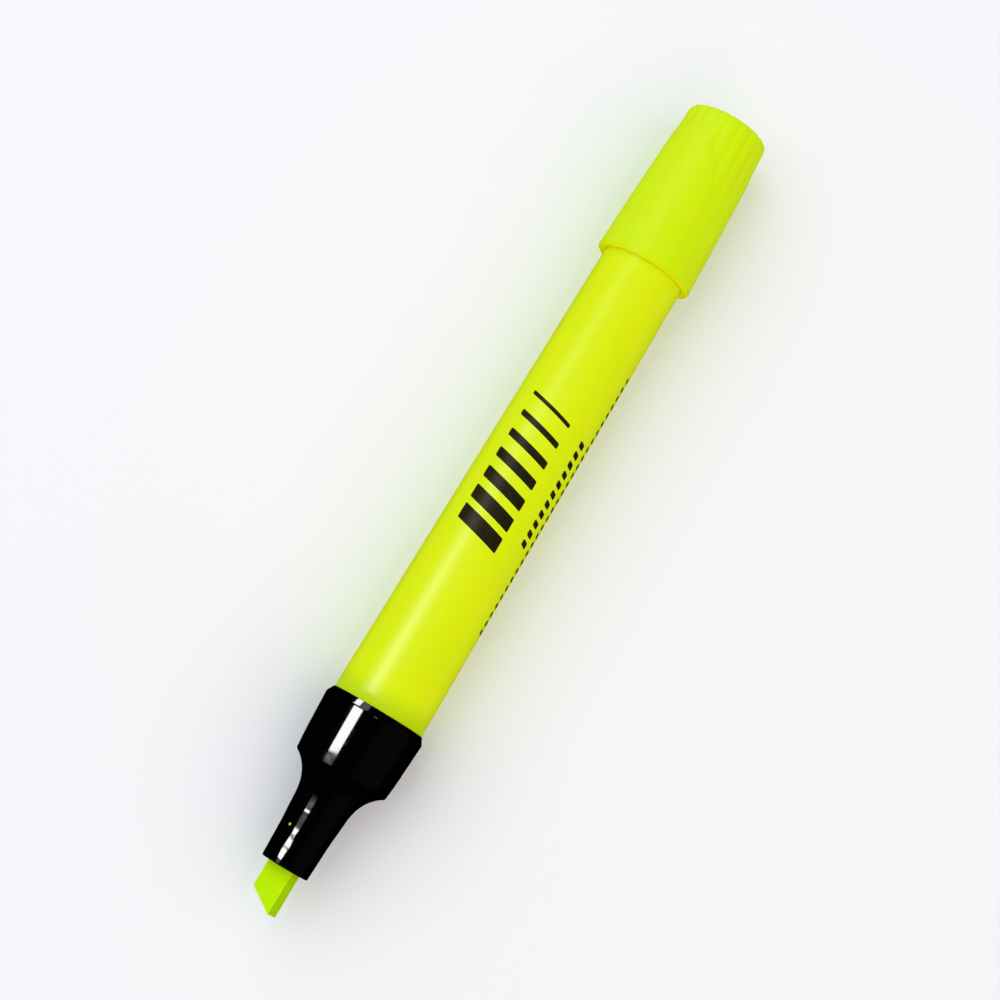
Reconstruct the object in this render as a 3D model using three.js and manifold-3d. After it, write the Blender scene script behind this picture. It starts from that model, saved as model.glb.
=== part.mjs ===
// A chisel-tip highlighter with its cap posted on the tail of its barrel, in millimetres.
// The pen lies along X with its nib toward -X and rests on the plane Z = 0.
// Every piece is modelled about the Y axis, where y is the distance behind the tip of the nib,
// and one group at the end of the file lays the whole pen down.
import * as THREE from "three";
import { mergeVertices } from "three/addons/utils/BufferGeometryUtils.js";
import Module from "manifold-3d";

const wasm = await Module();
wasm.setup();

// Driving dimensions
const penLength = 131.5;
const sides = 48; // flat sides around each turned piece
const fitGap = 0.3; // between pieces that touch or are cut to each other's shape

const nibWidth = 4.2;
const nibThickness = 2.6;
const nibLength = 33;
const nibSlant = 2.4; // how far the slanted cut falls back across the nib's width
const nibTail = 2.2; // length of the taper at the end inside the reservoir
const nibRoll = 24; // degrees that the nib's broad face is turned from straight up

const noseFront = 6.9;
const noseFrontRadius = 3.65;
const noseMiddle = 12.3;
const noseMiddleRadius = 3.87;
const noseBase = 17.6;
const noseBaseRadius = 4.24;
const noseEdge = 0.3; // rounding of the nose's front edge
const noseWeb = 2; // thickness of the nose's front wall
const noseBore = 2.9;
const gripRibs = 2.2; // how wide each rib that grips the nib is
const funnelStart = 16.5;
const funnelEnd = 25;

const collarFront = 21.8;
const collarFrontRadius = 7.35;
const collarWidest = 30.9;
const collarRadius = 7.8;
const collarRear = 32;
const collarEdge = 0.25;
const pocketFloor = 30; // the collar covers the barrel's front end from here to its own rear

const skirtRadius = 6;
const skirtBore = 5.15;
const skirtEnd = 40;
const beadCentre = 36.2;
const beadHeight = 0.14;
const beadHalfLength = 0.7;

const barrelFront = pocketFloor + fitGap;
const barrelRadiusAtCollar = 7.12;
const barrelRadiusAtCap = 6.31;
const barrelWall = 0.95;
const barrelEnd = 116.1;
const barrelFloor = 1.1;
const barrelEdge = 0.6;

const coreRadius = 4.6;
const coreFront = 27;
const coreRear = 111;
const coreEdge = 0.4;
const filmBore = 4.65;
const filmRadius = 4.85;
const filmOverhang = 0.4; // how far the fibre core stands out of its film at each end

const capMouth = 106.3;
const capMouthRadius = 7.51;
const capWaistDepth = 12.56; // where the tangents of the cap's two ends cross
const capWaistRadius = 7.13;
const capEndRadius = 6.4;
const capEdge = 1;
const capWall = 0.8;
const capFloor = 1.2;
const mouthChamfer = 0.3;
const postRibs = 6;
const vents = 3;
const ventRadius = 3.7;

const linerLip = 116.6;
const linerMouthRadius = 3.9;
const linerBottomRadius = 3.3;
const linerWall = 0.8;
const linerFloor = 129.1; // the inside of the liner's closed end
const linerFins = 6;

const flutes = 20;
const fluteTool = 1.2; // radius of the round cutter
const fluteDepth = 0.16;
const panelCentre = 50; // degrees from straight up to the middle of the cap's smooth panel
const panelHalfWidth = 71; // degrees
const panelTop = 2.8; // from the cap's closed end to the crown of the panel
const panelArch = 10.3; // height of the panel's arched top

// Materials
const plastic = (color, roughness) => new THREE.MeshStandardMaterial({ color, roughness, metalness: 0 });
const barrelYellow = plastic(0xdff500, 0.42);
const capYellow = plastic(0xccf50a, 0.5);
const glossBlack = plastic(0x0b0b0c, 0.14);
const inkedFelt = plastic(0xb8f000, 0.95);
const inkedFibre = plastic(0xe4ee2a, 0.9);
const clearFilm = plastic(0xdfe8d0, 0.25);
const naturalLiner = plastic(0xe6f2a0, 0.45);

// Helpers

/** A closed solid from a three.js geometry. */
function solidOf(geometry) {
  geometry.deleteAttribute("normal");
  geometry.deleteAttribute("uv");
  const merged = mergeVertices(geometry);
  return new wasm.Manifold(
    new wasm.Mesh({
      numProp: 3,
      vertProperties: new Float32Array(merged.attributes.position.array),
      triVerts: new Uint32Array(merged.index.array),
    }),
  );
}

/** A named mesh from a solid. */
function meshOf(name, solid, material) {
  const { vertProperties, triVerts } = solid.getMesh();
  const geometry = new THREE.BufferGeometry();
  geometry.setAttribute("position", new THREE.BufferAttribute(vertProperties, 3));
  geometry.setIndex(new THREE.BufferAttribute(triVerts, 1));
  geometry.computeVertexNormals();
  const mesh = new THREE.Mesh(geometry, material);
  mesh.name = name;
  return mesh;
}

/** A solid turned about the axis from [radius, distance behind the tip] pairs. */
function turned(profile) {
  const points = profile.map(([radius, back]) => new THREE.Vector2(radius, back));
  return solidOf(new THREE.LatheGeometry(points, sides, Math.PI / sides));
}

/** Points of a curve in [radius, back] form, without its first point. */
function alongCurve(curve, steps) {
  return curve.getPoints(steps).slice(1).map((p) => [p.x, p.y]);
}

/** A rounded corner that leaves one line at start, aims at corner and joins the next at end. */
function rounded(start, corner, end, steps) {
  const [a, b, c] = [start, corner, end].map(([radius, back]) => new THREE.Vector2(radius, back));
  return alongCurve(new THREE.QuadraticBezierCurve(a, b, c), steps);
}

/** A block that stands out from the axis between two radii, turned to an angle in degrees. */
function fin(width, innerRadius, outerRadius, from, to, angle) {
  const block = new THREE.BoxGeometry(width, to - from, outerRadius - innerRadius);
  block.translate(0, (from + to) / 2, (innerRadius + outerRadius) / 2);
  block.rotateY(THREE.MathUtils.degToRad(angle));
  return solidOf(block);
}

const barrelTaper = (barrelRadiusAtCollar - barrelRadiusAtCap) / (capMouth - collarRear);
const barrelRadius = (back) => barrelRadiusAtCollar - barrelTaper * (back - collarRear);

const capSide = new THREE.QuadraticBezierCurve(
  new THREE.Vector2(capMouthRadius, capMouth),
  new THREE.Vector2(capWaistRadius, capMouth + capWaistDepth),
  new THREE.Vector2(capEndRadius, penLength),
);
const capRadius = (back) => capSide.getPoint((back - capMouth) / (penLength - capMouth)).x;

// Sub-parts

/** Flat felt nib with a slanted writing end and a tapered tail. */
function makeNib() {
  const half = nibWidth / 2;
  const outline = new THREE.Shape([
    new THREE.Vector2(half, 0),
    new THREE.Vector2(half, nibLength - nibTail),
    new THREE.Vector2(half / 2, nibLength),
    new THREE.Vector2(-half / 2, nibLength),
    new THREE.Vector2(-half, nibLength - nibTail),
    new THREE.Vector2(-half, nibSlant),
  ]);
  const prism = new THREE.ExtrudeGeometry(outline, { depth: nibThickness, bevelEnabled: false });
  prism.translate(0, 0, -nibThickness / 2);
  const mesh = meshOf("nib", solidOf(prism), inkedFelt);
  mesh.rotation.y = -THREE.MathUtils.degToRad(nibRoll);
  return mesh;
}

/** A clearance block around the nib, for cutting the pieces that hold it. */
function nibRoom(from, to) {
  const room = new THREE.BoxGeometry(nibWidth + 2 * fitGap, to - from, nibThickness + 2 * fitGap);
  room.translate(0, (from + to) / 2, 0);
  room.rotateY(-THREE.MathUtils.degToRad(nibRoll));
  return solidOf(room);
}

/** Black grip collar, nose cone and the skirt that snaps into the barrel, in one moulding. */
function makeNoseSection() {
  const body = turned([
    [0, noseFront],
    [noseFrontRadius - noseEdge, noseFront],
    ...rounded(
      [noseFrontRadius - noseEdge, noseFront],
      [noseFrontRadius, noseFront],
      [noseFrontRadius, noseFront + noseEdge],
      3,
    ),
    [noseMiddleRadius, noseMiddle],
    [noseBaseRadius, noseBase],
    ...rounded([noseBaseRadius, noseBase], [4.45, 20.3], [collarFrontRadius - collarEdge, collarFront], 9),
    [collarFrontRadius, collarFront + collarEdge],
    [collarRadius, collarWidest],
    [barrelRadiusAtCollar + 0.1, collarRear],
    [barrelRadiusAtCollar + 0.1, pocketFloor],
    [skirtRadius, pocketFloor],
    [skirtRadius, beadCentre - beadHalfLength],
    [skirtRadius + beadHeight, beadCentre],
    [skirtRadius, beadCentre + beadHalfLength],
    [skirtRadius - 0.3, skirtEnd],
    [skirtBore, skirtEnd],
    [skirtBore, funnelEnd],
    [noseBore, funnelStart],
    [noseBore, noseFront + noseWeb],
    [0, noseFront + noseWeb],
  ]);
  const nibFace = nibThickness / 2 + fitGap;
  const ribAngles = [-nibRoll, 180 - nibRoll];
  const ribs = ribAngles.map((angle) =>
    fin(gripRibs, nibFace, noseBore + fitGap, noseFront + noseWeb / 2, funnelStart, angle),
  );
  const solid = ribs
    .reduce((whole, rib) => whole.add(rib), body)
    .subtract(nibRoom(noseFront - 1, noseFront + noseWeb + 1));
  return meshOf("nose_section", solid, glossBlack);
}

/** Tapered barrel, closed at its tail, with ribs that centre and stop the reservoir. */
function makeBarrel() {
  const inner = (back) => barrelRadius(back) - barrelWall;
  const floor = barrelEnd - barrelFloor;
  const outerEnd = barrelRadius(barrelEnd);
  let solid = turned([
    [0, floor],
    [inner(floor), floor],
    [inner(beadCentre + beadHalfLength), beadCentre + beadHalfLength],
    [inner(beadCentre) + beadHeight, beadCentre],
    [inner(beadCentre - beadHalfLength), beadCentre - beadHalfLength],
    [inner(barrelFront), barrelFront],
    [barrelRadius(barrelFront), barrelFront],
    [outerEnd, barrelEnd - barrelEdge],
    ...rounded(
      [outerEnd, barrelEnd - barrelEdge],
      [outerEnd, barrelEnd],
      [outerEnd - barrelEdge, barrelEnd],
      3,
    ),
    [0, barrelEnd],
  ]);
  const ribReach = filmRadius + 0.15;
  for (let angle = 0; angle < 360; angle += 60) {
    solid = solid.add(fin(0.8, ribReach, inner(98) + 0.2, 98, floor + 0.4, angle));
    solid = solid.add(fin(0.8, 1.5, ribReach + 0.4, coreRear + fitGap, floor + 0.4, angle));
  }
  return meshOf("barrel", solid, barrelYellow);
}

/** Fibre bundle that holds the ink, with a pocket where the nib's tail pushes in. */
function makeReservoirCore() {
  const bundle = turned([
    [0, coreFront],
    [coreRadius - coreEdge, coreFront],
    [coreRadius, coreFront + coreEdge],
    [coreRadius, coreRear - coreEdge],
    [coreRadius - coreEdge, coreRear],
    [0, coreRear],
  ]);
  const solid = bundle.subtract(nibRoom(coreFront - 1, nibLength + fitGap));
  return meshOf("reservoir_core", solid, inkedFibre);
}

/** Film wrapped around the fibre bundle. */
function makeReservoirFilm() {
  const [front, rear] = [coreFront + filmOverhang, coreRear - filmOverhang];
  const solid = turned([
    [filmBore, front],
    [filmRadius, front],
    [filmRadius, rear],
    [filmBore, rear],
    [filmBore, front],
  ]);
  return meshOf("reservoir_film", solid, clearFilm);
}

/** How far a flute at an angle, in degrees from straight up, runs from the cap's closed end. */
function fluteLength(angle) {
  const fromPanel = Math.abs(((angle - panelCentre + 90 + 720) % 180) - 90);
  const share = fromPanel / panelHalfWidth;
  const full = penLength - capMouth - 1.5;
  return share < 1 ? panelTop + panelArch * (1 - Math.sqrt(1 - share * share)) : full;
}

/** The round cutter of one flute, which follows the cap's side. */
function fluteCutter(angle) {
  const start = penLength + 1;
  const end = penLength - fluteLength(angle);
  const stations = 6;
  const path = [];
  for (let i = 0; i < stations; i += 1) {
    const back = start + ((end - start) * i) / (stations - 1);
    const radius = capRadius(Math.min(back, penLength)) + fluteTool - fluteDepth;
    path.push(new THREE.Vector3(0, back, radius));
  }
  const section = new THREE.Shape().absarc(0, 0, fluteTool, 0, 2 * Math.PI);
  const tool = new THREE.ExtrudeGeometry(section, {
    curveSegments: 8,
    steps: stations - 1,
    bevelEnabled: false,
    extrudePath: new THREE.CatmullRomCurve3(path),
  });
  tool.rotateY(-THREE.MathUtils.degToRad(angle));
  return solidOf(tool);
}

/** Cap with a fluted grip around two smooth panels, posting ribs inside and vents in its end. */
function makeCapShell() {
  const floor = penLength - capFloor;
  const inner = (back) => capRadius(back) - capWall;
  const sidePoints = [6, 12, 18].map((depth) => [capRadius(capMouth + depth), capMouth + depth]);
  const innerPoints = [18, 12, 6].map((depth) => [inner(capMouth + depth), capMouth + depth]);
  const shoulder = penLength - capEdge;
  let solid = turned([
    [0, floor],
    [inner(floor), floor],
    ...innerPoints,
    [inner(capMouth + mouthChamfer), capMouth + mouthChamfer],
    [inner(capMouth) + mouthChamfer, capMouth],
    [capMouthRadius - 0.12, capMouth],
    [capMouthRadius, capMouth + 0.2],
    ...sidePoints,
    [capRadius(shoulder), shoulder],
    ...rounded([capRadius(shoulder), shoulder], [capEndRadius, penLength], [capEndRadius - capEdge, penLength], 4),
    [0, penLength],
  ]);
  for (let i = 0; i < postRibs; i += 1) {
    const angle = (360 * i) / postRibs;
    const ribTop = barrelRadius(capMouth + 6) + 0.1;
    solid = solid.add(fin(0.7, ribTop, ribTop + 0.45, capMouth + 6.5, barrelEnd - 0.2, angle));
  }
  for (let i = 0; i < vents; i += 1) {
    const angle = (360 * i) / vents;
    solid = solid.subtract(fin(3.4, ventRadius - 0.55, ventRadius + 0.55, floor - 1, penLength + 1, angle));
  }
  for (let i = 0; i < flutes; i += 1) {
    solid = solid.subtract(fluteCutter(panelCentre + (360 * (i + 0.5)) / flutes));
  }
  return meshOf("cap_shell", solid, capYellow);
}

/** Inner cap that seals on the nose, held clear of the shell by fins so that air can pass. */
function makeCapLiner() {
  const end = linerFloor + linerWall;
  let solid = turned([
    [0, linerFloor],
    [linerBottomRadius, linerFloor],
    [linerMouthRadius, linerLip],
    [linerMouthRadius + linerWall, linerLip],
    [linerBottomRadius + linerWall, end],
    [0, end],
  ]);
  const finStart = linerLip + 4;
  const finRadius = capRadius(end) - capWall - 0.1;
  for (let i = 0; i < linerFins; i += 1) {
    const angle = (360 * (i + 0.5)) / linerFins;
    solid = solid.add(fin(0.8, linerBottomRadius + 0.4, finRadius, finStart, end, angle));
  }
  return meshOf("cap_liner", solid, naturalLiner);
}

const pen = new THREE.Group();
pen.add(
  makeNib(),
  makeNoseSection(),
  makeBarrel(),
  makeReservoirCore(),
  makeReservoirFilm(),
  makeCapShell(),
  makeCapLiner(),
);
pen.rotation.z = -Math.PI / 2;
pen.position.set(-penLength / 2, 0, collarRadius * Math.cos(Math.PI / sides));

const highlighter = new THREE.Group();
highlighter.add(pen);

export default highlighter;
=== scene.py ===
import math

import bmesh
import bpy
from mathutils import Matrix, Vector


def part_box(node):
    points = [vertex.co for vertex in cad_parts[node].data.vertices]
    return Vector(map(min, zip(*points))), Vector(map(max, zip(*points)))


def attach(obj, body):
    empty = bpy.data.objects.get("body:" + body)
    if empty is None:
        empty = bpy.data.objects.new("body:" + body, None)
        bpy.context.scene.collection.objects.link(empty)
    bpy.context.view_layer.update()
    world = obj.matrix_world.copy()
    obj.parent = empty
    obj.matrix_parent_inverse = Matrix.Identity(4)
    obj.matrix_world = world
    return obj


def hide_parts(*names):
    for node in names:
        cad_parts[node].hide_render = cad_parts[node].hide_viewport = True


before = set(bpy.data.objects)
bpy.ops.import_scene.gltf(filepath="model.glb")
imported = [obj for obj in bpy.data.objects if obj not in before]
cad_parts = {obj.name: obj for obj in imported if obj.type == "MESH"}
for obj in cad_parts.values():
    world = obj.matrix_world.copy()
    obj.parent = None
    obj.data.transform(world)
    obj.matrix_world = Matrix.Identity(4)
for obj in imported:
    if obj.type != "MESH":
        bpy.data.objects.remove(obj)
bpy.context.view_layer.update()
mm = 0.001
creaseAngle = 32  # degrees between two faces from which their edge is shaded as sharp
turnedSteps = 144  # facets around a turned piece

# places along the pen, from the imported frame
noseLow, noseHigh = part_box("nose_section")
barrelLow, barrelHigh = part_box("barrel")
capLow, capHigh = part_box("cap_shell")
nibLow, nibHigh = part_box("nib")
axisHeight = (noseLow.z + noseHigh.z) / 2
tipX = nibLow.x
capEnd = capHigh.x
capMouth = capLow.x
print("frame loaded", [round(v / mm, 2) for v in (tipX, noseLow.x, barrelLow.x, capMouth, capEnd)])


def back(distance):
    # x of a place, from its distance behind the nib's tip in millimetres
    return tipX + distance * mm


def behindTip(x):
    return (x - tipX) / mm


def ring(distance, radius, rounding=0):
    # one corner of the outline of a turned piece, from millimetres
    return back(distance), radius * mm, rounding * mm


def smoothStep(low, high, value):
    share = min(1, max(0, (value - low) / (high - low)))
    return share * share * (3 - 2 * share)


def outlineOf(bm, corners):
    # a wire outline of (x, radius, rounding) corners, its round ones beveled to arcs
    longStraight = 0.8 * mm
    stretch = 0.12 * mm
    verts = [bm.verts.new((x, 0, radius)) for x, radius, rounding in corners]
    for a, b in zip(verts, verts[1:]):
        bm.edges.new((a, b))
    for vert, (x, radius, rounding) in zip(verts, corners):
        if rounding:
            bmesh.ops.bevel(bm, geom=[vert], offset=rounding, offset_type="OFFSET", segments=6,
                            profile=0.5, affect="VERTICES", clamp_overlap=True, material=-1)
    # a short stretch at each end of a long straight keeps its shading flat
    for edge in bm.edges[:]:
        length = edge.calc_length()
        if length > longStraight:
            newEdge, newVert = bmesh.utils.edge_split(edge, edge.verts[0], stretch / length)
            rest = edge if edge.calc_length() > newEdge.calc_length() else newEdge
            other = rest.other_vert(newVert)
            bmesh.utils.edge_split(rest, other, stretch / rest.calc_length())


def turned(corners, steps):
    # spins an outline about the pen's axis into a closed body
    bm = bmesh.new()
    outlineOf(bm, corners)
    bmesh.ops.spin(bm, geom=bm.verts[:] + bm.edges[:], cent=(0, 0, 0), axis=(1, 0, 0),
                   dvec=(0, 0, 0), angle=2 * math.pi, steps=steps, use_merge=True)
    bmesh.ops.remove_doubles(bm, verts=bm.verts[:], dist=1e-7)
    bmesh.ops.recalc_face_normals(bm, faces=bm.faces[:])
    return bm


def boxOf(length, width, height):
    bm = bmesh.new()
    bmesh.ops.create_cube(bm, size=1)
    bmesh.ops.scale(bm, verts=bm.verts[:], vec=(length * mm, width * mm, height * mm))
    return bm


def roundEdges(bm, edges, rounding, segments):
    bmesh.ops.bevel(bm, geom=edges, offset=rounding * mm, offset_type="OFFSET", segments=segments,
                    profile=0.5, affect="EDGES", material=-1)


def roundedBar(length, width, height, rounding, segments):
    # a bar along X with its four long edges rounded, to cut an opening with
    bm = boxOf(length, width, height)
    lengthwise = [e for e in bm.edges if abs(e.verts[0].co.x - e.verts[1].co.x) > mm]
    roundEdges(bm, lengthwise, rounding, segments)
    return bm


def move(bm, *offset):
    bmesh.ops.translate(bm, verts=bm.verts[:], vec=offset)


def roll(bm, angle):
    # turns a piece about the X axis, from +Z toward +Y for a positive angle in radians
    bmesh.ops.transform(bm, matrix=Matrix.Rotation(-angle, 4, "X"), verts=bm.verts[:])


def objectFrom(bm, name):
    mesh = bpy.data.meshes.new(name)
    bm.to_mesh(mesh)
    bm.free()
    made = bpy.data.objects.new(name, mesh)
    bpy.context.scene.collection.objects.link(made)
    return made


def placed(bm, name, material, body, stands=(), sharp=creaseAngle):
    # lifts a piece made about the X axis to the pen's axis and gives it to its body
    move(bm, 0, 0, axisHeight)
    piece = objectFrom(bm, name)
    mesh = piece.data
    mesh.polygons.foreach_set("use_smooth", [True] * len(mesh.polygons))
    mesh.set_sharp_from_angle(angle=math.radians(sharp))
    mesh.materials.append(material)
    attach(piece, body)
    if stands:
        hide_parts(*stands)
    return piece


def cutOut(piece, bm):
    # cuts once and for good, so that no modifier is left live on the piece
    cutter = objectFrom(bm, "cutter")
    step = piece.modifiers.new("cut", "BOOLEAN")
    step.operation = "DIFFERENCE"
    step.solver = "EXACT"
    step.object = cutter
    graph = bpy.context.evaluated_depsgraph_get()
    mesh = bpy.data.meshes.new_from_object(piece.evaluated_get(graph))
    piece.modifiers.remove(step)
    old = piece.data
    name = old.name
    piece.data = mesh
    bpy.data.meshes.remove(old)
    mesh.name = name
    bpy.data.objects.remove(cutter)


def linear(code):
    # sRGB hex to the linear values that the shaders take
    parts = [int(code[i:i + 2], 16) / 255 for i in (1, 3, 5)]
    return [c / 12.92 if c <= 0.04045 else ((c + 0.055) / 1.055) ** 2.4 for c in parts] + [1]


def addNode(tree, kind, settings=None, links=None):
    node = tree.nodes.new(kind)
    for key, value in (settings or {}).items():
        if isinstance(key, str) and hasattr(node, key):
            setattr(node, key, value)
        else:
            node.inputs[key].default_value = value
    for socket, source in (links or {}).items():
        tree.links.new(source, node.inputs[socket])
    return node


def newMaterial(name, base, roughness, **sockets):
    mat = bpy.data.materials.new(name)
    mat.use_nodes = True
    shader = mat.node_tree.nodes["Principled BSDF"]
    shader.inputs["Base Color"].default_value = linear(base)
    shader.inputs["Roughness"].default_value = roughness
    for key, value in sockets.items():
        shader.inputs[key.replace("_", " ")].default_value = value
    return mat, mat.node_tree, shader


def objectPlace(tree):
    return addNode(tree, "ShaderNodeTexCoord").outputs["Object"]


def alongPen(tree):
    return addNode(tree, "ShaderNodeSeparateXYZ", None, {"Vector": objectPlace(tree)}).outputs["X"]


def drawnOut(tree, place, share):
    # stretches a pattern along the pen, by one over the share
    node = addNode(tree, "ShaderNodeMapping", {"Scale": (share, 1, 1)}, {"Vector": place})
    return node.outputs["Vector"]


def noise(tree, place, size, detail):
    # soft noise whose lumps are about size millimetres across
    node = addNode(tree, "ShaderNodeTexNoise", {"Scale": 1 / (size * mm), "Detail": detail},
                   {"Vector": place})
    return node.outputs["Fac"]


def remap(tree, value, start, stop, low=0.0, high=1.0, kind="LINEAR"):
    node = addNode(tree, "ShaderNodeMapRange", {
        "interpolation_type": kind, "From Min": start, "From Max": stop, "To Min": low, "To Max": high,
    }, {"Value": value})
    return node.outputs["Result"]


def compute(tree, operation, first, second):
    node = addNode(tree, "ShaderNodeMath", {"operation": operation}, {0: first, 1: second})
    return node.outputs["Value"]


def blend(tree, share, first, second, mode="MIX"):
    # from the first colour to the second, each one a hex code or another node's output
    settings = {"data_type": "RGBA", "blend_type": mode}
    links = {0: share}
    for socket, colour in ((6, first), (7, second)):
        if isinstance(colour, str):
            settings[socket] = linear(colour)
        else:
            links[socket] = colour
    return addNode(tree, "ShaderNodeMix", settings, links).outputs[2]


def relief(tree, height, strength, depth, links=None):
    # a bump that is depth millimetres high
    node = addNode(tree, "ShaderNodeBump", {"Strength": strength, "Distance": depth * mm},
                   {"Height": height, **(links or {})})
    return node.outputs["Normal"]


def connect(shader, **sockets):
    for key, source in sockets.items():
        shader.id_data.links.new(source, shader.inputs[key.replace("_", " ")])


def feeding(shader, socket):
    # what is connected to a socket so far
    return shader.inputs[socket].links[0].from_socket


# injection moulded polypropylene in a fluorescent yellow: satin, faintly cloudy, lit from within
def makeSatinPlastic(name, light, deep, roughness, gloss, cloudSize, grainHeight):
    mat, tree, shader = newMaterial(name, light, roughness, IOR=1.49, Specular_IOR_Level=gloss,
                                    Subsurface_Weight=0.12, Subsurface_Scale=0.0012)
    place = objectPlace(tree)
    # pigment clouds a few millimetres across, drawn out along the flow of the plastic
    cloud = noise(tree, drawnOut(tree, place, 0.35), cloudSize, 3)
    rough = remap(tree, cloud, 0, 1, roughness - 0.05, roughness + 0.06)
    # spark eroded grain of 0.25 mm, drawn a little coarser than real so that it shows
    grain = noise(tree, place, 0.25, 2)
    connect(shader, Base_Color=blend(tree, cloud, deep, light), Roughness=rough,
            Normal=relief(tree, grain, 0.25, grainHeight))
    return mat, tree, shader


# a plain material whose colour wavers from one shade to another, in lumps of one size
def makeWavering(name, base, roughness, first, second, size, detail, stretch=1, **sockets):
    mat, tree, shader = newMaterial(name, base, roughness, **sockets)
    place = drawnOut(tree, objectPlace(tree), stretch)
    connect(shader, Base_Color=blend(tree, noise(tree, place, size, detail), first, second))
    return mat


# values in millimetres: places behind the nib's tip, and radii
nose = {
    "proud": 0.2, "frontRadius": 3.65, "frontEdge": 0.18, "web": 2.0, "bore": 2.9,
    "bendAt": 12.3, "bendRadius": 3.84, "baseAt": 16.6, "baseRadius": 4.165,
    "ringAt": 15.1, "ringHeight": 0.0007, "ringHalf": 0.2,
    "throatPull": (20.1, 4.44), "throatStep": 0.1, "throatParts": 12,
    "collarFront": 21.8, "collarFrontRadius": 7.22,
    "shoulderAt": 24.3, "shoulderRadius": 7.46, "widestAt": 30.9, "widestRadius": 7.8,
    "rearAt": 32.0, "rearRadius": 7.2, "pocketAt": 30.0,
    "skirtRadius": 6.0, "skirtBore": 5.15, "skirtEdge": 0.2,
    "funnelFrom": 16.5, "funnelTo": 25.0, "slotGap": 0.22, "slotRounding": 0.35, "slotDepth": 6,
    "fleckTurn": 40,
}

# a flat slanted block: its size, and the degrees that it is turned about the pen's axis
nib = {"width": 4.36, "thickness": 2.8, "slant": 2.5, "roll": 24, "edge": 0.24, "tail": 2.2,
       "tailShare": 0.55}


# polished black moulding: mirror-like with faint sink waves and handling marks
def makeGlossBlack():
    black = "#020202"
    mat, tree, shader = newMaterial("polishedBlackPlastic", black, 0.08, IOR=1.5,
                                    Specular_IOR_Level=0.26)
    place = objectPlace(tree)
    marks = noise(tree, place, 0.9, 4)
    rough = remap(tree, marks, 0.45, 0.75, 0.06, 0.12)
    # one fleck of ink, 0.4 mm across, that the felt has left on the nose
    turn = math.radians(nose["fleckTurn"])
    reach = nose["bendRadius"] * mm
    spot = (back(nose["bendAt"]), math.sin(turn) * reach, axisHeight + math.cos(turn) * reach)
    fleck = addNode(tree, "ShaderNodeVectorMath", {"operation": "DISTANCE", 1: spot}, {0: place})
    inked = remap(tree, fleck.outputs["Value"], 0.15 * mm, 0.26 * mm, 1.0, 0.0)
    # faint dents, 1.4 mm across, on the front of the nose where the cap's liner rubs it
    dents = noise(tree, place, 1.4, 0)
    rubbed = remap(tree, alongPen(tree), back(11.4), back(12.2), 1.0, 0.0)
    waves = relief(tree, noise(tree, place, 3.5, 1), 1.0, 0.004)
    normal = relief(tree, compute(tree, "MULTIPLY", dents, rubbed), 1.0, 0.06, {"Normal": waves})
    connect(shader, Base_Color=blend(tree, inked, black, "#B4C850"), Roughness=rough, Normal=normal)
    return mat


def makeNoseSection():
    n = nose
    front = behindTip(noseLow.x) - n["proud"]
    skirtEnd = behindTip(noseHigh.x)
    # the throat is one curve from the nose cone out to the collar
    start = Vector((n["baseAt"], n["baseRadius"]))
    pull = Vector(n["throatPull"])
    end = Vector((n["collarFront"], n["collarFrontRadius"] - n["throatStep"]))
    throat = []
    for i in range(1, n["throatParts"]):
        t = i / n["throatParts"]
        point = start * (1 - t) ** 2 + pull * 2 * t * (1 - t) + end * t * t
        throat.append(ring(point.x, point.y))
    slope = (n["baseRadius"] - n["bendRadius"]) / (n["baseAt"] - n["bendAt"])
    ringRadius = n["bendRadius"] + slope * (n["ringAt"] - n["bendAt"])
    bm = turned([
        ring(front, 0),
        ring(front, n["frontRadius"], n["frontEdge"]),
        ring(n["bendAt"], n["bendRadius"], 0.6),
        ring(n["ringAt"] - n["ringHalf"], ringRadius),
        ring(n["ringAt"], ringRadius + n["ringHeight"]),
        ring(n["ringAt"] + n["ringHalf"], ringRadius + slope * n["ringHalf"]),
        ring(n["baseAt"], n["baseRadius"]),
        *throat,
        ring(n["collarFront"], n["collarFrontRadius"], 0.22),
        ring(n["shoulderAt"], n["shoulderRadius"], 0.8),
        ring(n["widestAt"], n["widestRadius"], 0.16),
        ring(n["rearAt"], n["rearRadius"], 0.08),
        ring(n["pocketAt"], n["rearRadius"]),
        ring(n["pocketAt"], n["skirtRadius"]),
        ring(skirtEnd, n["skirtRadius"], n["skirtEdge"]),
        ring(skirtEnd, n["skirtBore"], n["skirtEdge"]),
        ring(n["funnelTo"], n["skirtBore"]),
        ring(n["funnelFrom"], n["bore"]),
        ring(front + n["web"], n["bore"]),
        ring(front + n["web"], 0),
    ], turnedSteps)
    piece = placed(bm, "noseSection", makeGlossBlack(), "pen", ["nose_section"])
    # the slot that the nib comes out of
    gap = 2 * n["slotGap"]
    cutter = roundedBar(n["slotDepth"], nib["width"] + gap, nib["thickness"] + gap,
                        n["slotRounding"], 4)
    roll(cutter, math.radians(nib["roll"]))
    move(cutter, noseLow.x + 1 * mm, 0, axisHeight)
    cutOut(piece, cutter)
    piece.data.set_sharp_from_angle(angle=math.radians(creaseAngle))


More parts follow.
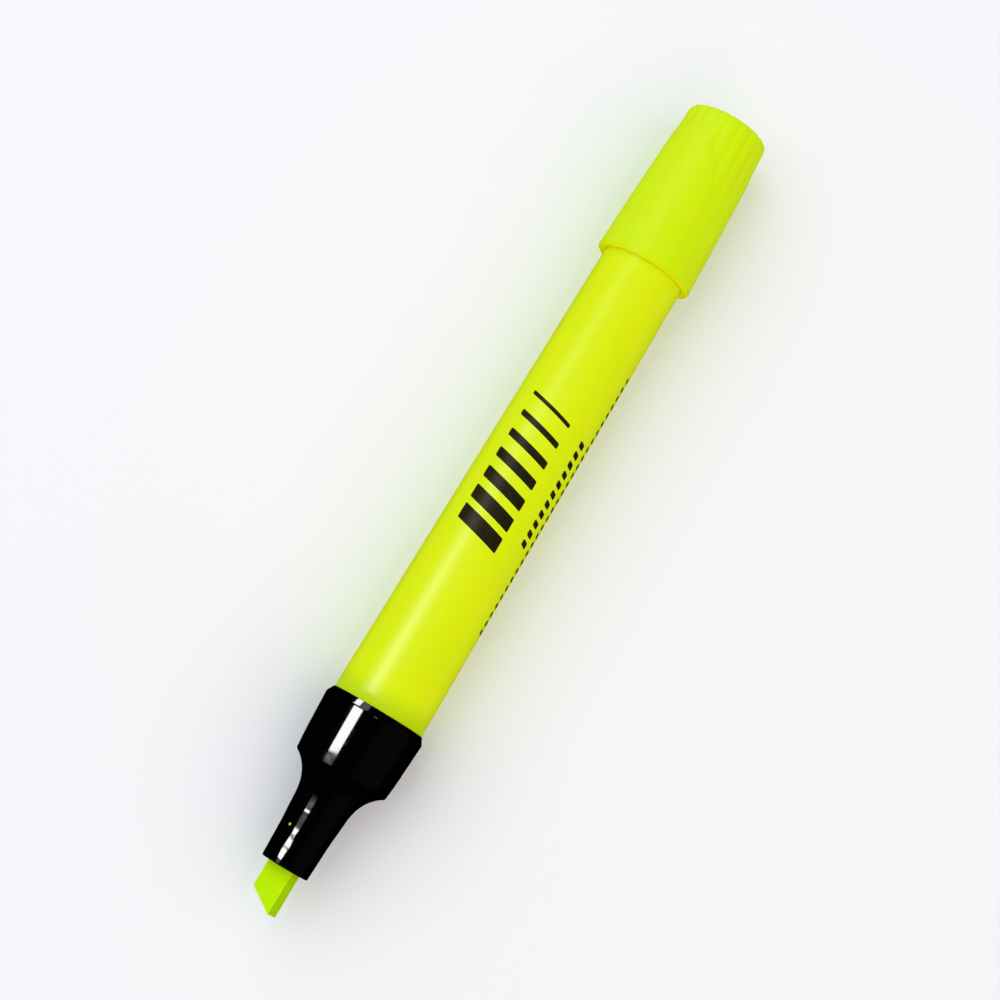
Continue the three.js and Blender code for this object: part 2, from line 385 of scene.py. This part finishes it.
# bonded polyester felt soaked in ink: dull, with fibres running along the nib
def makeInkedFelt():
    mat, tree, shader = newMaterial("inkedFelt", "#B9ED00", 0.9, IOR=1.45, Specular_IOR_Level=0.04,
                                    Subsurface_Weight=0.15, Subsurface_Scale=0.0008)
    # fibres 0.12 mm apart and about 2 mm long, coarser than the real 0.02 mm so that they show
    fibres = noise(tree, drawnOut(tree, objectPlace(tree), 0.06), 0.12, 3)
    tone = blend(tree, fibres, "#B0E300", "#CCFF00")
    # painted shade: the narrow side, which faces -Y away from the brighter lamp, is painted darker
    turn = math.radians(nib["roll"])
    shadedSide = (0, -math.cos(turn), math.sin(turn))
    normal = addNode(tree, "ShaderNodeTexCoord").outputs["Normal"]
    facing = addNode(tree, "ShaderNodeVectorMath", {"operation": "DOT_PRODUCT", 1: shadedSide},
                     {0: normal})
    shadeShare = remap(tree, facing.outputs["Value"], 0.5, 0.9)
    # painted shade: the side facing -Y is multiplied darker here
    connect(shader, Base_Color=blend(tree, shadeShare, tone, "#DDE0FF", "MULTIPLY"),
            Normal=relief(tree, fibres, 0.6, 0.03))
    return mat


def makeNib():
    length = (nibHigh.x - nibLow.x) / mm
    half = nib["width"] / 2 * mm
    bm = boxOf(length, nib["width"], nib["thickness"])
    # the slanted writing end: the corner on the -Y side is the long one
    for vert in bm.verts:
        if vert.co.x < 0 and vert.co.y > 0:
            vert.co.x += nib["slant"] * mm
        if vert.co.x > 0:
            vert.co.y *= nib["tailShare"]
    # the tail narrows over its last stretch only
    tailStart = (length / 2 - nib["tail"]) * mm
    bmesh.ops.bisect_plane(bm, geom=bm.verts[:] + bm.edges[:] + bm.faces[:],
                           plane_co=(tailStart, 0, 0), plane_no=(1, 0, 0))
    for vert in bm.verts:
        if abs(vert.co.x - tailStart) < 0.01 * mm:
            vert.co.y = math.copysign(half, vert.co.y)
    roundEdges(bm, bm.edges[:], nib["edge"], 4)
    roll(bm, math.radians(nib["roll"]))
    move(bm, (nibLow.x + nibHigh.x) / 2, 0, 0)
    placed(bm, "feltNib", makeInkedFelt(), "pen", ["nib"], sharp=50)


makeNoseSection()
makeNib()
print("nose section and nib made")

barrel = {"collarAt": 32.0, "collarRadius": 7.12, "taper": 0.0109, "wall": 0.95, "floor": 1.1,
          "frontEdge": 0.12, "tailEdge": 0.6, "gateRadius": 1.3, "gateDepth": 0.25}


def barrelRadius(distance):
    return barrel["collarRadius"] - barrel["taper"] * (distance - barrel["collarAt"])


# the satin plastic of the barrel, with painted shade where it meets the collar
def makeBarrelPlastic():
    mat, tree, shader = makeSatinPlastic("fluorescentPolypropylene", "#E3F500", "#DAEF00",
                                         0.33, 0.09, 7, 0.012)
    # painted shade in the corner beside the collar, where the collar keeps light off the barrel, 4 mm
    # long; the same corner is also made matt
    along = alongPen(tree)
    away = remap(tree, along, back(31.9), back(36), kind="SMOOTHSTEP")
    matt = remap(tree, along, back(32.6), back(33.8), 0.5, 0.0, "SMOOTHSTEP")
    # the painted shade is mixed into the base colour here
    connect(shader, Base_Color=blend(tree, away, "#BCDA00", feeding(shader, "Base Color")),
            Roughness=compute(tree, "ADD", feeding(shader, "Roughness"), matt))
    return mat


def makeBarrel():
    b = barrel
    front = behindTip(barrelLow.x)
    tail = behindTip(barrelHigh.x)
    floor = tail - b["floor"]
    bm = turned([
        ring(floor, 0),
        ring(floor, barrelRadius(floor) - b["wall"], 0.4),
        ring(front, barrelRadius(front) - b["wall"]),
        ring(front, barrelRadius(front), b["frontEdge"]),
        *[ring(d, barrelRadius(d)) for d in range(40, 112, 8)],
        ring(tail, barrelRadius(tail), b["tailEdge"]),
        ring(tail, b["gateRadius"], 0.1),
        ring(tail - b["gateDepth"], b["gateRadius"] - 0.2, 0.08),
        ring(tail - b["gateDepth"], 0),
    ], turnedSteps)
    placed(bm, "barrelTube", makeBarrelPlastic(), "pen", ["barrel"])


makeBarrel()
print("barrel made")

# places are distances behind the nib's tip and angles from the top toward +Y; the lean is
# sideways for each millimetre of height, and the step is between the cuts that let a mark bend
prints = {
    "film": 0.012, "sunk": 0.03, "lean": 1.9 / 7, "corner": 0.22, "step": 0.5,
    "rows": (
        {"from": 58.9, "to": 79.6, "low": -22, "high": 42, "count": 7, "first": 2.4, "last": 0.6},
        {"from": 61.9, "to": 78.2, "low": -60, "high": -49, "count": 11, "first": 0.95, "last": 0.95},
        {"from": 48.4, "to": 90.2, "low": -80, "high": -72, "count": 30, "first": 0.8, "last": 0.8},
    ),
}


def inkPatch(start, thick, low, high):
    # a leaning bar with soft corners and a little thickness, still flat
    bm = bmesh.new()
    radius = barrelRadius(start)
    bottom = math.radians(low) * radius
    top = math.radians(high) * radius
    lean = prints["lean"] * (top - bottom)
    corners = [(start, bottom), (start + thick, bottom),
               (start + thick + lean, top), (start + lean, top)]
    verts = [bm.verts.new((x * mm, y * mm, 0)) for x, y in corners]
    bm.faces.new(verts)
    bmesh.ops.bevel(bm, geom=verts, offset=min(prints["corner"], thick / 3) * mm,
                    offset_type="OFFSET", segments=3, profile=0.5, affect="VERTICES", material=-1)
    height = bottom + prints["step"]
    while height < top:
        bmesh.ops.bisect_plane(bm, geom=bm.verts[:] + bm.edges[:] + bm.faces[:],
                               plane_co=(0, height * mm, 0), plane_no=(0, 1, 0))
        height += prints["step"]
    bmesh.ops.solidify(bm, geom=bm.faces[:], thickness=(prints["film"] + prints["sunk"]) * mm)
    return bm


def wrapRound(bm, start):
    # bends a flat mark round the taper, its lower face sunk under the surface
    lowest = min(v.co.z for v in bm.verts)
    radius = barrelRadius(start)
    for vert in bm.verts:
        x = vert.co.x / mm
        turn = vert.co.y / mm / radius
        out = (barrelRadius(x) + (vert.co.z - lowest) / mm - prints["sunk"]) * mm
        vert.co = (back(x), math.sin(turn) * out, math.cos(turn) * out)
    bmesh.ops.recalc_face_normals(bm, faces=bm.faces[:])


def makePrintedMarks():
    # pad printed black ink: a thin even film, half glossy, a trace of the yellow showing through
    ink = makeWavering("padPrintInk", "#1C1A06", 0.36, "#141304", "#2A2808", 0.5, 3,
                       IOR=1.5, Specular_IOR_Level=0.04)
    bm = bmesh.new()
    for row in prints["rows"]:
        gaps = row["count"] - 1
        for i in range(row["count"]):
            thick = row["first"] + (row["last"] - row["first"]) * i / gaps
            start = row["from"] + (row["to"] - row["from"]) * i / gaps
            patch = inkPatch(start, thick, row["low"], row["high"])
            wrapRound(patch, start)
            made = bpy.data.meshes.new("patch")
            patch.to_mesh(made)
            patch.free()
            bm.from_mesh(made)
            bpy.data.meshes.remove(made)
    placed(bm, "printedMarks", ink, "pen")


makePrintedMarks()
print("printed marks made")

# lengths are in millimetres, depths from the cap's mouth, and the panel's angles in degrees
cap = {
    "mouthRadius": 7.51, "waistRadius": 7.13, "endRadius": 6.4, "endEdge": 0.7, "endRing": 1.5,
    "wall": 0.8, "floor": 1.2, "rimEdge": 0.32,
    "lipRadius": 6.37, "lipLength": 0.9, "lipEdge": 0.06, "lipRamp": 0.25,
    "ringsPerMm": 3, "innerStops": (21, 17, 13, 4, 2.6),
    "flutes": 20, "stepsPerFlute": 18, "fluteDepth": 0.14, "fluteSharp": 1.6, "recess": 0.09,
    "sideShare": 0.35, "fullTo": 7.5, "dimFrom": 14, "fadeFrom": 1.6, "fadeTo": 3.2,
    "panelCentre": 50, "panelHalfWidth": 71, "panelTop": 3.95, "panelArch": 10.3,
    "panelReach": 8.5, "panelEdge": 0.5,
    "vents": 3, "ventRadius": 3.7, "ventLength": 3.4, "ventWidth": 1.1, "ventDepth": 4,
    "gateRadius": 1.5, "gateDepth": 0.3,
    "postRibs": 6, "ribWidth": 0.7, "ribTop": 6.34, "ribFrom": 6.5, "ribTo": 9.3, "ribRamp": 0.3,
}


# the barrel's resin a little greener and more matt, from a finer textured mould
def makeCapPlastic():
    mat, tree, shader = makeSatinPlastic("capPolypropylene", "#CCF804", "#D9EB00",
                                         0.5, 0.06, 3.5, 0.02)
    along = alongPen(tree)
    # painted warm light: the end face of the mouth, over its last 0.1 mm, is painted lighter and
    # warmer for the light that the barrel bounces onto it
    inside = remap(tree, along, capMouth + 0.02 * mm, capMouth + 0.12 * mm)
    # the mould's parting edge is polished, so the rim is shinier than the side
    polish = remap(tree, along, capMouth + 0.3 * mm, capMouth + 0.7 * mm, 0.3, 0.0)
    connect(shader, Base_Color=blend(tree, inside, "#FFFA00", feeding(shader, "Base Color")),
            Roughness=compute(tree, "SUBTRACT", feeding(shader, "Roughness"), polish))
    return mat


def capRadius(depth):
    # the outside of a side that is very slightly barrelled
    t = depth * mm / (capEnd - capMouth)
    return (cap["mouthRadius"] * (1 - t) ** 2 + cap["waistRadius"] * 2 * t * (1 - t)
            + cap["endRadius"] * t * t)


def fluteCut(x, angle):
    # how far the surface sinks at a place: a sunk field of flutes round two smooth arched panels
    fromEnd = (capEnd - x) / mm
    fromMouth = (x - capMouth) / mm
    turnFromPanel = abs((angle - cap["panelCentre"] + 90) % 180 - 90)
    across = turnFromPanel / cap["panelHalfWidth"]
    rise = max(0, (cap["panelTop"] + cap["panelArch"] - fromEnd) / cap["panelArch"])
    outside = (math.hypot(across, rise) - 1) * cap["panelReach"]
    field = smoothStep(0, cap["panelEdge"], outside)
    field *= smoothStep(cap["fadeFrom"], cap["fadeTo"], fromMouth)
    wave = 0.5 + 0.5 * math.cos(math.radians(cap["flutes"] * (angle - cap["panelCentre"]) + 180))
    share = 1 - (1 - cap["sideShare"]) * smoothStep(cap["fullTo"], cap["dimFrom"], fromEnd)
    return field * (cap["recess"] + cap["fluteDepth"] * wave ** cap["fluteSharp"] * share)


def onRib(depth, angle, radius):
    # whether a place on the inner wall belongs to one of the ribs that hold the barrel's tail
    spacing = 360 / cap["postRibs"]
    offCentre = abs((angle + spacing / 2) % spacing - spacing / 2)
    halfTurn = math.degrees(cap["ribWidth"] / 2 / cap["ribTop"]) + 0.01
    return (offCentre < halfTurn and cap["ribFrom"] + 0.1 < depth < cap["ribTo"] + 0.1
            and radius > cap["ribTop"])


def makeCapShell():
    c = cap
    length = (capEnd - capMouth) / mm
    mouth = behindTip(capMouth)
    end = mouth + length
    floor = length - c["floor"]
    perMm = c["ringsPerMm"]
    outer = [ring(mouth + d / perMm, capRadius(d / perMm))
             for d in range(1, int(perMm * (length - c["endEdge"])))]
    ribStops = [stop + ramp for stop in (c["ribFrom"], c["ribTo"]) for ramp in (0, c["ribRamp"])]
    inner = [ring(mouth + d, capRadius(d) - c["wall"])
             for d in sorted([*c["innerStops"], *ribStops], reverse=True)]
    bm = turned([
        ring(mouth + floor, 0),
        ring(mouth + floor, capRadius(floor) - c["wall"], 0.5),
        *inner,
        ring(mouth + c["lipLength"] + c["lipRamp"], capRadius(0) - c["wall"] - 0.05, 0.1),
        ring(mouth + c["lipLength"], c["lipRadius"], 0.1),
        ring(mouth, c["lipRadius"], c["lipEdge"]),
        ring(mouth, capRadius(0), c["rimEdge"]),
        *outer,
        ring(end, c["endRadius"], c["endEdge"]),
        ring(end, c["endRadius"] - c["endRing"]),
        ring(end, c["gateRadius"], 0.1),
        ring(end - c["gateDepth"], c["gateRadius"] - 0.2, 0.08),
        ring(end - c["gateDepth"], 0),
    ], c["flutes"] * c["stepsPerFlute"])
    # the flutes sink into the outside only, and fade where it turns into the flat end
    edgeInside = c["endRadius"] - c["endEdge"] - 0.4
    edgeOutside = c["endRadius"] - c["endEdge"] + 0.3
    for vert in bm.verts:
        radius = math.hypot(vert.co.y, vert.co.z) / mm
        depth = (vert.co.x - capMouth) / mm
        angle = math.degrees(math.atan2(vert.co.y, vert.co.z))
        if radius < capRadius(depth) - 0.5 - c["endEdge"] * (depth > floor):
            share = c["ribTop"] / radius if onRib(depth, angle, radius) else 1
        else:
            nearEdge = smoothStep(edgeInside, edgeOutside, radius)
            share = 1 - fluteCut(vert.co.x, angle) * nearEdge / radius
        vert.co.y *= share
        vert.co.z *= share
    piece = placed(bm, "capShell", makeCapPlastic(), "cap", ["cap_shell"])
    for i in range(c["vents"]):
        cutter = roundedBar(c["ventDepth"], c["ventLength"], c["ventWidth"], c["ventWidth"] * 0.49, 6)
        move(cutter, capEnd - 1 * mm, 0, c["ventRadius"] * mm)
        roll(cutter, -2 * math.pi * i / c["vents"])
        move(cutter, 0, 0, axisHeight)
        cutOut(piece, cutter)
    piece.data.set_sharp_from_angle(angle=math.radians(creaseAngle))


makeCapShell()
print("cap made")

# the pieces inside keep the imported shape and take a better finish
insideFinish = {
    # ink-soaked fibre bundle, its strands lying along the pen
    "reservoir_core": makeWavering("inkedFibre", "#E4EE2A", 0.9, "#D2E400", "#F4F86A", 0.2, 2, 0.04),
    # thin clear polypropylene wrap, cloudy where it is heat sealed
    "reservoir_film": makeWavering("clearFilm", "#E6EEC8", 0.2, "#DCE6A8", "#EFF5DC", 2, 2,
                                   IOR=1.49),
    # unpigmented polyethylene liner, milky and soft looking
    "cap_liner": makeWavering("milkyPolyethylene", "#E6F0A6", 0.45, "#DCEA8C", "#EEF4BE", 3, 2,
                              IOR=1.5, Subsurface_Weight=0.3, Subsurface_Scale=0.001),
}
for node, material in insideFinish.items():
    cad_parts[node].material_slots[0].material = material
print("inside finished")

# the camera's distance and its aim are in millimetres, its tilt and roll in degrees; the card's
# glow begins and ends at distances in metres
studio = {
    "card": "#F7F9FF", "cardDrop": 0.03, "glowFrom": 0.25, "glowTo": 1.5, "glow": 0.43,
    "surround": 0.56, "seenSurround": 0.98,
    "focal": 85.3, "distance": 339, "tilt": 8.0, "roll": 31.006, "aimAt": 66.74, "aside": 0.63,
}


def makeFloor():
    bm = bmesh.new()
    bmesh.ops.create_grid(bm, x_segments=1, y_segments=1, size=4)
    floor = objectFrom(bm, "floor")
    floor.location.z = -studio["cardDrop"] * mm
    mat, tree, shader = newMaterial("paleCard", studio["card"], 0.9, Specular_IOR_Level=0.1,
                                    Emission_Color=(1, 1, 1, 1))
    # far from the pen the card keeps its white, so that it meets the surround without an edge
    far = addNode(tree, "ShaderNodeVectorMath", {"operation": "LENGTH"}, {0: objectPlace(tree)})
    glow = remap(tree, far.outputs["Value"], studio["glowFrom"], studio["glowTo"],
                 0.0, studio["glow"], "SMOOTHSTEP")
    connect(shader, Emission_Strength=glow)
    floor.data.materials.append(mat)
    floor.visible_glossy = False


def makeWorld():
    # an even white surround that lights the matt surfaces but doesn't mirror in the glossy ones
    world = bpy.data.worlds.new("studio")
    bpy.context.scene.world = world
    world.use_nodes = True
    tree = world.node_tree
    tree.nodes.clear()
    path = addNode(tree, "ShaderNodeLightPath")
    soft, seen = [
        addNode(tree, "ShaderNodeBackground", {"Color": (1, 1, 1, 1), "Strength": strength})
        for strength in (studio["surround"], studio["seenSurround"])
    ]
    mixed = addNode(tree, "ShaderNodeMixShader", None, {
        0: path.outputs["Is Camera Ray"], 1: soft.outputs[0], 2: seen.outputs[0],
    })
    addNode(tree, "ShaderNodeOutputWorld", None, {"Surface": mixed.outputs[0]})
    world.cycles_visibility.glossy = False


# name: degrees from straight up toward +Y, distance, reach along the pen, width across, radiance,
# colour, and whether matt or glossy surfaces see it
lamps = {
    "softLeft": (35, 0.9, (-0.4, 1.0), 0.9, 1.05, (0.93, 0.99, 1), "matt"),
    "softRight": (-35, 0.9, (-1.1, 0.4), 0.9, 0.8, (1, 0.84, 0.72), "matt"),
    "stripBox": (39, 0.55, (-0.123, 0.05), 0.215, 47, (1, 0.99, 0.97), "glossy"),
    "stripFront": (39, 0.55, (-0.18, -0.123), 0.215, 2.4, (0.86, 0.93, 1), "glossy"),
    "stripFar": (39, 0.55, (-0.23, -0.18), 0.215, 0.9, (0.86, 0.93, 1), "glossy"),
    "stripBack": (39, 0.55, (0.05, 1.0), 0.215, 3.4, (1, 1, 1), "glossy"),
    "topBand": (-2.5, 0.55, (0.03, 0.15), 0.077, 8, (1, 1, 1), "glossy"),
    "endGlow": (63.4, 0.56, (0.55, 0.83), 0.17, 38, (1, 1, 1), "glossy"),
    "roomGlow": (-58, 0.9, (-1.2, 1.2), 1.4, 0.06, (1, 1, 1), "glossy"),
}


def makeLamp(name, angle, distance, span, width, radiance, colour, seenBy):
    data = bpy.data.lights.new(name, "AREA")
    data.shape = "RECTANGLE"
    data.size = span[1] - span[0]
    data.size_y = width
    data.energy = radiance * math.pi * data.size * data.size_y
    data.color = colour
    lamp = bpy.data.objects.new(name, data)
    bpy.context.scene.collection.objects.link(lamp)
    turn = math.radians(angle)
    lamp.location = ((span[0] + span[1]) / 2, math.sin(turn) * distance,
                     math.cos(turn) * distance + axisHeight)
    lamp.rotation_euler = (-turn, 0, 0)
    lamp.visible_diffuse = seenBy == "matt"
    lamp.visible_glossy = seenBy == "glossy"
    lamp.visible_transmission = False


def makeCamera():
    data = bpy.data.cameras.new("camera")
    data.lens = studio["focal"]
    data.sensor_width = 36
    data.clip_start = 0.01
    data.clip_end = 20
    camera = bpy.data.objects.new("camera", data)
    bpy.context.scene.collection.objects.link(camera)
    tilt = math.radians(studio["tilt"])
    turn = math.radians(studio["roll"])
    away = Vector((math.sin(tilt), 0, -math.cos(tilt)))
    alongView = Vector((math.cos(tilt), 0, math.sin(tilt)))
    aside = Vector((0, -1, 0))
    right = alongView * math.sin(turn) + aside * math.cos(turn)
    up = alongView * math.cos(turn) - aside * math.sin(turn)
    target = Vector((back(studio["aimAt"]), studio["aside"] * mm, axisHeight))
    place = target - away * studio["distance"] * mm
    camera.matrix_world = Matrix((
        (right.x, up.x, -away.x, place.x),
        (right.y, up.y, -away.y, place.y),
        (right.z, up.z, -away.z, place.z),
        (0, 0, 0, 1),
    ))
    bpy.context.scene.camera = camera


makeFloor()
makeWorld()
for name, values in lamps.items():
    makeLamp(name, *values)
makeCamera()
bpy.context.scene.view_settings.view_transform = "Standard"
print("studio made")
